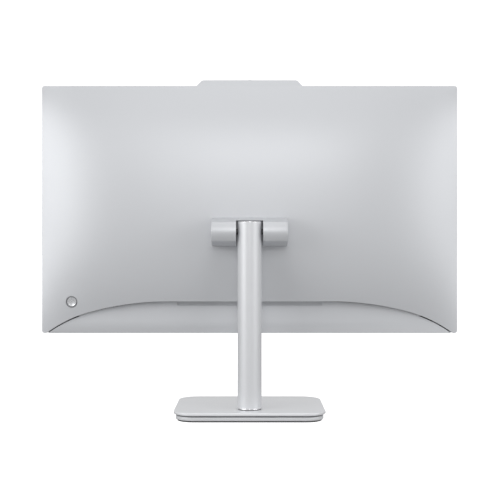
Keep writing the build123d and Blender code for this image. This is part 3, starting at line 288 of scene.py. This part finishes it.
def combine(obj, tool_bm, operation, angle):
    """Cuts tool_bm out of obj, or joins it to obj, and keeps the result as obj's mesh."""
    me = bpy.data.meshes.new("tool")
    bmesh.ops.recalc_face_normals(tool_bm, faces=tool_bm.faces)
    tool_bm.to_mesh(me)
    tool_bm.free()
    tool = bpy.data.objects.new("tool", me)
    bpy.context.scene.collection.objects.link(tool)
    mod = obj.modifiers.new("combine", "BOOLEAN")
    mod.operation = operation
    mod.solver = "EXACT"
    mod.object = tool
    made = bpy.data.meshes.new_from_object(obj.evaluated_get(bpy.context.evaluated_depsgraph_get()))
    obj.modifiers.clear()
    obj.data = made
    bpy.data.objects.remove(tool)
    shade(made, angle)


# ------------------------------------------------------------ rear cover shape
low_cover, high_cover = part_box("rear_cover")
low_lower, high_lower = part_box("lower_rear_cover")
HALF_W = high_cover.x
LOW = low_lower.z
RIM = high_lower.y
FRONT = low_cover.y
TOP = high_cover.z - HUMP_H
MID, HALF_H = (LOW + TOP) / 2, (TOP - LOW) / 2


def dome_y(x, z):
    """Rear surface of the cover at a point."""
    u, v = x / HALF_W, (z - MID) / HALF_H
    return RIM + DOME_RISE * (1 - u ** 4) * (1 - (v ** 2 + v ** 4) / 2)


def arch_z(x, drop=0.0):
    """Height of the arch line, moved in by drop, at a distance x from the middle."""
    x, top, r1, r2 = abs(x), ARCH_TOP - drop, ARCH_R1 - drop, ARCH_R2 - drop
    if x <= ARCH_FLAT:
        return top
    x1 = ARCH_FLAT + r1 * math.sin(ARCH_A1)
    if x <= x1:
        return top - r1 + math.sqrt(r1 ** 2 - (x - ARCH_FLAT) ** 2)
    z1 = top - r1 * (1 - math.cos(ARCH_A1))
    cx, cz = x1 - r2 * math.sin(ARCH_A1), z1 - r2 * math.cos(ARCH_A1)
    return cz + math.sqrt(max(r2 ** 2 - (x - cx) ** 2, 0.0))


def arch_foot(height, drop=0.0):
    """Distance from the middle at which the arch line comes down to a height."""
    near, far = ARCH_FLAT, HALF_W
    for _ in range(40):
        x = (near + far) / 2
        near, far = (x, far) if arch_z(x, drop) > height else (near, x)
    return near


def column(x):
    """Lowest and highest point of the cover at x, with the housing's corners rounded."""
    d = max(abs(x) - (HALF_W - CORNER), 0.0)
    cut = CORNER - math.sqrt(max(CORNER ** 2 - d ** 2, 0.0))
    return max(arch_z(x), LOW + cut), TOP - cut


def spaced(low, high, n, ease):
    """n + 1 values from low to high, closer together at the ends when ease is above 0."""
    out = []
    for i in range(n + 1):
        t = i / n
        s = (1 - math.cos(math.pi * t)) / 2
        out.append(low + (high - low) * (t * (1 - ease) + s * ease))
    return out


def cover_columns(n):
    """Places of the grid's columns: a few round each corner, and n even steps between."""
    corner = [HALF_W - CORNER + CORNER * math.sin(math.radians(9 * k)) for k in range(1, 11)]
    foot = arch_foot(LOW)
    inner = [x for x in spaced(-(HALF_W - CORNER), HALF_W - CORNER, n, 0.3) if abs(abs(x) - foot) > 0.0006]
    return sorted([-x for x in corner] + inner + [-foot, foot] + corner)


def cover_solid(columns, rows):
    """The housing's rear shell: domed outer face, rim, and the inner face a wall's thickness in."""
    bm = bmesh.new()
    outer, inner = [], []
    for x in columns:
        low, high = column(x)
        outer.append([bm.verts.new((x, dome_y(x, z), z)) for z in spaced(low, high, rows, 0.4)])
        xi = x * (HALF_W - SIDE_WALL) / HALF_W
        inside = spaced(low + LEDGE_WALL, high - SIDE_WALL, rows, 0.4)
        inner.append([bm.verts.new((xi, dome_y(x, z) - DOME_WALL, z)) for z in inside])
    last = len(columns) - 1
    for i in range(last):
        for j in range(rows):
            bm.faces.new((outer[i][j], outer[i + 1][j], outer[i + 1][j + 1], outer[i][j + 1]))
            bm.faces.new((inner[i][j + 1], inner[i + 1][j + 1], inner[i + 1][j], inner[i][j]))
    edge = [(i, rows) for i in range(last)] + [(last, j) for j in range(rows, 0, -1)]
    edge += [(i, 0) for i in range(last, 0, -1)] + [(0, j) for j in range(rows)]

    def front_of(i, j):
        """The ledge over the recess is shallower than the sides."""
        on_ledge = j == 0 and arch_z(columns[i]) > LOW + CORNER
        return SHELF_Y if on_ledge else FRONT

    out_ring = [bm.verts.new((outer[i][j].co.x, front_of(i, j), outer[i][j].co.z)) for i, j in edge]
    in_ring = [bm.verts.new((inner[i][j].co.x, front_of(i, j), inner[i][j].co.z)) for i, j in edge]
    for k in range(len(edge)):
        n = (k + 1) % len(edge)
        (i, j), (p, q) = edge[k], edge[n]
        bm.faces.new((outer[i][j], outer[p][q], out_ring[n], out_ring[k]))
        bm.faces.new((out_ring[k], out_ring[n], in_ring[n], in_ring[k]))
        bm.faces.new((in_ring[k], in_ring[n], inner[p][q], inner[i][j]))
    bm.edges.ensure_lookup_table()
    corners = [outer[i][j] for i, j in edge]
    rim = [bm.edges.get(pair) for pair in zip(corners, corners[1:] + corners[:1])]
    bmesh.ops.bevel(bm, geom=rim, offset=EDGE_R, segments=2, affect="EDGES", clamp_overlap=True)
    return bm


def hump_side():
    """One side of the camera hump seen from behind, from its foot up round its shoulder."""
    slope = math.atan2(HUMP_H, HUMP_BASE - HUMP_CREST)
    reach = HUMP_R * math.tan(slope / 2)
    cx, cz = HUMP_CREST - reach, TOP + HUMP_H - HUMP_R
    turn = [slope * (1 - i / 10) for i in range(11)]
    return [(HUMP_BASE, TOP)] + [(cx + HUMP_R * math.sin(a), cz + HUMP_R * math.cos(a)) for a in turn]


def hump_solid():
    """Camera hump: its rear face carries on from the dome and leans towards the screen."""
    bm = bmesh.new()
    side = [(HUMP_BASE, TOP - CORNER)] + hump_side()
    outline = side + [(-x, z) for x, z in reversed(side)]
    rings = []
    for depth, inset in HUMP_EDGE:
        ring = []
        for x, z in outline:
            lean = HUMP_LEAN * (z - TOP) / HUMP_H
            pull = inset if z > TOP + SLIVER else 0.0
            ring.append(bm.verts.new((x - math.copysign(pull, x), RIM - lean - depth, z - pull)))
        rings.append(ring)
    rings.append([bm.verts.new((x, FRONT, z)) for x, z in outline])
    skin(bm, rings)
    return bm


def cover_cuts():
    """Openings in the rear cover: button well, hinge window, ports and air slots."""
    bm = bmesh.new()
    low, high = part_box("power_button")
    well = disc_outline(WELL_R, (low.x + high.x) / 2, (low.z + high.z) / 2)
    loft(bm, well, [(FRONT + WELL_DEPTH, 0.0), (WELL_BACK, 0.0)], upright)
    block(bm, (-WINDOW_HALF, WINDOW_FRONT, AXIS_Z - WINDOW_RISE),
          (WINDOW_HALF, WINDOW_BACK, AXIS_Z + WINDOW_RISE))
    boxes = [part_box(name) for name in ("network_port", "video_port", "audio_jack", "power_inlet")]
    for low, high in boxes + usb_shells():
        block(bm, (low[0] - PORT_GAP, low[1] - PORT_GAP, ARCH_TOP - PORT_BELOW),
              (high[0] + PORT_GAP, high[1] + PORT_GAP, ARCH_TOP + PORT_ABOVE))
    for side in (-1, 1):
        for i in range(LEDGE_VENTS):
            x = side * LEDGE_VENT_X + (i - (LEDGE_VENTS - 1) / 2) * LEDGE_VENT_PITCH
            slot = rounded(LEDGE_VENT_W, LEDGE_VENT_L, LEDGE_VENT_R, x, LEDGE_VENT_Y, steps=5)
            loft(bm, slot, [(LEDGE_VENT_LOW, 0.0), (LEDGE_VENT_HIGH, 0.0)], flat)
        for i in range(TOP_VENTS):
            x = side * TOP_VENT_X + (i - (TOP_VENTS - 1) / 2) * TOP_VENT_PITCH
            slot = rounded(TOP_VENT_W, TOP_VENT_L, TOP_VENT_R, x, TOP_VENT_Y, steps=4)
            loft(bm, slot, [(TOP - TOP_VENT_BELOW, 0.0), (TOP + TOP_VENT_ABOVE, 0.0)], flat)
    return bm


def usb_shells():
    """Boxes of the separate metal shells in the usb_ports node."""
    me = NODES["usb_ports"].data
    bm = bmesh.new()
    bm.from_mesh(me)
    bmesh.ops.remove_doubles(bm, verts=bm.verts, dist=1e-6)
    left, boxes = set(bm.verts), []
    while left:
        stack, group = [next(iter(left))], set()
        while stack:
            v = stack.pop()
            if v in group:
                continue
            group.add(v)
            stack += [e.other_vert(v) for e in v.link_edges]
        left -= group
        spans = [[v.co[k] for v in group] for k in range(3)]
        boxes.append(([min(span) for span in spans], [max(span) for span in spans]))
    bm.free()
    return sorted(boxes)


COVER_SMOOTH = 11
NX, NZ = ((240, 140))
cover = finish_mesh(cover_solid(cover_columns(NX), NZ), "rear_cover_skin", COVER, "head",
                    ("rear_cover",), angle=COVER_SMOOTH)
combine(cover, hump_solid(), "UNION", COVER_SMOOTH)
combine(cover, cover_cuts(), "DIFFERENCE", COVER_SMOOTH)


# ------------------------------------------------------------ lower rear cover
def recess_outline(inset):
    """The flat panel under the arch: the arch line, moved in, and the housing's bottom edge."""
    steps, foot = 160, arch_foot(LOW + 0.0008, RECESS_GAP)
    points = [(x, arch_z(x, RECESS_GAP)) for x in spaced(foot, -foot, steps, 0.6)]
    return points + [(-foot - 0.0003, LOW + inset), (foot + 0.0003, LOW + inset)]


rings = [(FRONT, 0.0), (RIM - EDGE_R, 0.0), (RIM - EDGE_R * 0.3, EDGE_R * 0.3), (RIM, EDGE_R)]
recess = finish_mesh(loft(bmesh.new(), recess_outline, rings, upright), "recess_panel", RECESS, "head",
                     ("lower_rear_cover",))
bay = bmesh.new()
block(bay, (-BAY_HALF, RIM - BAY_DEPTH, BAY_LOW), (BAY_HALF, RIM + PAST, ARCH_TOP + PAST))
combine(recess, bay, "DIFFERENCE", 30)


# ------------------------------------------------------------------- hinge bar
BAR_ROOT, BAR_SHOULDER, BAR_EDGE, BAR_REAR = 0.0050, 0.0300, 0.0525, 0.0575
BAR_HALF, BAR_REAR_HALF, BAR_END_R, BAR_WALL = 0.0203, 0.0133, 0.0014, 0.0020
BAR_SMOOTH = 20
NOTCH_HALF, NOTCH_FRONT, NOTCH_TOP = 0.0191, 0.0218, 0.2793


def bar_outline(inset):
    """Side view of the hinge bar: level by the screen, tapering back to a round rear face."""
    half, rear, edge = BAR_HALF - inset, BAR_REAR_HALF - inset, BAR_EDGE - inset
    bulge = BAR_REAR - BAR_EDGE
    radius = (rear ** 2 + bulge ** 2) / (2 * bulge)
    middle = edge + bulge - radius
    sweep = math.asin(rear / radius)
    arc = [sweep * (1 - 2 * i / 32) for i in range(33)]
    back = [(middle + radius * math.cos(t), AXIS_Z + radius * math.sin(t)) for t in arc]
    return ([(BAR_ROOT, AXIS_Z - half), (BAR_ROOT, AXIS_Z + half), (BAR_SHOULDER, AXIS_Z + half)] + back
            + [(BAR_SHOULDER, AXIS_Z - half)])


low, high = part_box("hinge_cover")
bar = finish_mesh(loft(bmesh.new(), bar_outline, edge_rings(low.x, high.x, BAR_END_R, BAR_END_R), sideways),
                  "hinge_bar", BAR, "head", ("hinge_cover",), angle=BAR_SMOOTH)
notch = bmesh.new()
block(notch, (-NOTCH_HALF, POLE_Y - NOTCH_FRONT, AXIS_Z - 5 * PAST),
      (NOTCH_HALF, POLE_Y + 5 * PAST, NOTCH_TOP))
combine(bar, notch, "DIFFERENCE", BAR_SMOOTH)


def bar_inside(inset):
    """Side view of the hollow in the bar, open towards the cover."""
    return [(y if y > BAR_ROOT else BAR_ROOT - PAST / 10, z) for y, z in bar_outline(BAR_WALL + inset)]


near, far = NOTCH_HALF + BAR_WALL, high.x - BAR_WALL
hollows = bmesh.new()
for start, end in ((-far, -near), (near, far)):
    loft(hollows, bar_inside, [(start, 0.0), (end, 0.0)], sideways)
combine(bar, hollows, "DIFFERENCE", BAR_SMOOTH)
bore = loft(bmesh.new(), disc_outline(SHAFT_BORE, POLE_Y, AXIS_Z, 48), [(-far, 0.0), (far, 0.0)], sideways)
combine(bar, bore, "DIFFERENCE", BAR_SMOOTH)


# ------------------------------------------------------------------------ post
def on_pole(a, b, h):
    """Place for what turns about the post's own axis."""
    return (a, POLE_Y + b, h)


low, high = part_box("pole_tube")
inner_r = POLE_R - POLE_WALL
profile = [(POLE_R, low.z), (POLE_R, high.z), (inner_r, high.z), (inner_r, low.z)]
tube = turned(bmesh.new(), profile, on_pole)
pole = finish_mesh(tube, "pole", POLE, "stand", ("pole_tube",))
hole = disc_outline(SHAFT_HOLE, POLE_Y, AXIS_Z, 48)
combine(pole, loft(bmesh.new(), hole, [(-2 * PAST, 0.0), (2 * PAST, 0.0)], sideways), "DIFFERENCE", 30)
low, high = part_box("pole_cap")
cap = loft(bmesh.new(), disc_outline(POLE_R, 0, POLE_Y, 128), edge_rings(low.z, high.z, 0.0, CAP_EDGE), flat)
finish_mesh(cap, "pole_top", TRIM, "stand", ("pole_cap",))
low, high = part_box("pole_collar")
profile = [(high.x - RING_EDGE, low.z), (high.x, low.z + RING_EDGE), (high.x, high.z - 2.5 * RING_EDGE),
           (high.x - RING_EDGE / 2, high.z - RING_EDGE), (high.x - 2 * RING_EDGE, high.z),
           (RING_BORE, high.z), (RING_BORE, low.z)]
ring = turned(bmesh.new(), profile, on_pole)
finish_mesh(ring, "pole_foot_ring", TRIM, "stand", ("pole_collar",))


# ------------------------------------------------------------------------ base
def base_slab(node, name, mat, low_r, high_r):
    """One of the base's rounded plates, with soft rims."""
    low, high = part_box(node)
    inset = NODES["base_top"].dimensions.x / 2 - high.x
    shape = rounded(2 * high.x, 2 * high.y, BASE_R - inset, steps=24)
    return finish_mesh(loft(bmesh.new(), shape, edge_rings(low.z, high.z, low_r, high_r, 6), flat), name, mat,
                       "stand", (node,))


base_slab("base_top", "base_plate", STAND_LIGHTENED_SILVER, BASE_LIP, BASE_EDGE)
under = base_slab("base_lower", "base_under_plate", STAND_LIGHTENED_SILVER, UNDER_EDGE, UNDER_LIP)
well = loft(bmesh.new(), disc_outline(SCREW_WELL_R, 0, POLE_Y), [(0.0, 0.0), (SCREW_WELL_H, 0.0)], flat)
combine(under, well, "DIFFERENCE", 30)


# ---------------------------------------------------------------- power button
def button_cap():
    """Round cap that follows the dome, dished in the middle, with a soft rim."""
    low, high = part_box("power_button")
    cx, cz, r = (low.x + high.x) / 2, (low.z + high.z) / 2, (high.x - low.x) / 2
    sink, dish, rim, soft = 0.0003, 0.0011, 0.0006, 0.0004
    profile = [((r - rim) * k / 14, dish * (1 - (k / 14) ** 2)) for k in range(1, 15)]
    for k in range(5):
        t = math.radians(90 * k / 4)
        profile.append((r - soft + soft * math.sin(t), soft * (1 - math.cos(t))))
    bm = bmesh.new()
    loops = []
    for radius, depth in profile:
        loop = []
        for i in range(72):
            a = math.tau * i / 72
            x, z = cx + radius * math.cos(a), cz + radius * math.sin(a)
            loop.append(bm.verts.new((x, dome_y(x, z) - sink - depth, z)))
        loops.append(loop)
    loops.append([bm.verts.new((v.co.x, CAP_FRONT, v.co.z)) for v in loops[-1]])
    skin(bm, loops)
    return bm, cx, cz, dome_y(cx, cz) - sink - dish


cap_bm, button_x, button_z, dish_y = button_cap()
finish_mesh(cap_bm, "power_button_cap", BUTTON, "button", ("power_button",))
rings = [(dish_y - LAMP_DEPTH, 0.0), (dish_y + LAMP_LIFT, 0.0), (dish_y + LAMP_CROWN, LAMP_EDGE)]
lamp = loft(bmesh.new(), disc_outline(LAMP_R, button_x, button_z, 24), rings, upright)
finish_mesh(lamp, "power_lamp", LAMP, "button")


# ------------------------------------------------------------- floor and light
def area(name, azimuth, elevation, energy, size=(1.3, 1.3), distance=2.6, target=(0, 0, 0.3)):
    """Soft box seen from the object at azimuth (0 behind it, towards +X) and elevation, in degrees."""
    light = bpy.data.lights.new(name, "AREA")
    light.shape = "RECTANGLE"
    light.size, light.size_y = size
    light.energy = energy
    a, e = math.radians(azimuth), math.radians(elevation)
    away = Vector((math.sin(a) * math.cos(e), math.cos(a) * math.cos(e), math.sin(e)))
    obj = bpy.data.objects.new(name, light)
    obj.location = Vector(target) + away * distance
    obj.rotation_euler = (-away).to_track_quat("-Z", "Y").to_euler()
    bpy.context.scene.collection.objects.link(obj)
    return obj


def seen_by_camera(tree, output, seen, unseen):
    """Sends seen to the camera's own rays and unseen to all others."""
    path = tree.nodes.new("ShaderNodeLightPath")
    mix = tree.nodes.new("ShaderNodeMixShader")
    tree.links.new(path.outputs["Is Camera Ray"], mix.inputs[0])
    tree.links.new(unseen, mix.inputs[1])
    tree.links.new(seen, mix.inputs[2])
    tree.links.new(mix.outputs[0], tree.nodes[output].inputs["Surface"])


floor_mesh = bpy.data.meshes.new("floor")
floor_mesh.from_pydata([(-30, -30, 0), (30, -30, 0), (30, 30, 0), (-30, 30, 0)], [], [(0, 1, 2, 3)])
floor = bpy.data.objects.new("floor", floor_mesh)
floor.location.z = -0.0002
bpy.context.scene.collection.objects.link(floor)
paper = bpy.data.materials.new("paper")
paper.use_nodes = True
paper_tree = paper.node_tree
sheet = paper_tree.nodes["Principled BSDF"]
sheet.inputs["Base Color"].default_value = (0.80, 0.80, 0.80, 1)
sheet.inputs["Roughness"].default_value = 0.9
sheet.inputs["Specular IOR Level"].default_value = 0.0
glow = paper_tree.nodes.new("ShaderNodeEmission")
glow.name = "glow"
glow.inputs["Strength"].default_value = 0.80
lit = paper_tree.nodes.new("ShaderNodeAddShader")
paper_tree.links.new(sheet.outputs[0], lit.inputs[0])
paper_tree.links.new(glow.outputs[0], lit.inputs[1])
matt = paper_tree.nodes.new("ShaderNodeBsdfDiffuse")
matt.inputs["Color"].default_value = (0.40, 0.40, 0.40, 1)
seen_by_camera(paper_tree, "Material Output", lit.outputs[0], matt.outputs[0])
floor_mesh.materials.append(paper)

world = bpy.data.worlds.new("studio")
bpy.context.scene.world = world
world.use_nodes = True
sky_tree = world.node_tree
air = sky_tree.nodes["Background"]
air.inputs["Color"].default_value = (1, 1, 1, 1)
air.inputs["Strength"].default_value = 0.66
wall_white = sky_tree.nodes.new("ShaderNodeBackground")
wall_white.inputs["Color"].default_value = (1, 1, 1, 1)
wall_white.inputs["Strength"].default_value = 1.1
seen_by_camera(sky_tree, "World Output", wall_white.outputs[0], air.outputs[0])

area("front_wall", 0, 18, 8, (0.8, 1.0))
area("left_wall", 52, 10, 15)
area("right_wall", -52, 10, 11)
area("left_edge", 74, 6, 5)
area("right_edge", -74, 6, 3)
area("top_front", 0, 52, 3)
area("ceiling", 0, 82, 4)

# -------------------------------------------------------------------- camera
cam_data = bpy.data.cameras.new("camera")
cam_data.sensor_width = 36.0
cam_data.lens = 75.6
cam_data.shift_x = 0.0008
cam_data.shift_y = -0.0058
camera = bpy.data.objects.new("camera", cam_data)
camera.location = (0.0, 1.52595, 0.2418)
camera.rotation_euler = (math.pi / 2, 0, math.pi)
bpy.context.scene.collection.objects.link(camera)
bpy.context.scene.camera = camera
bpy.context.scene.view_settings.view_transform = "Standard"
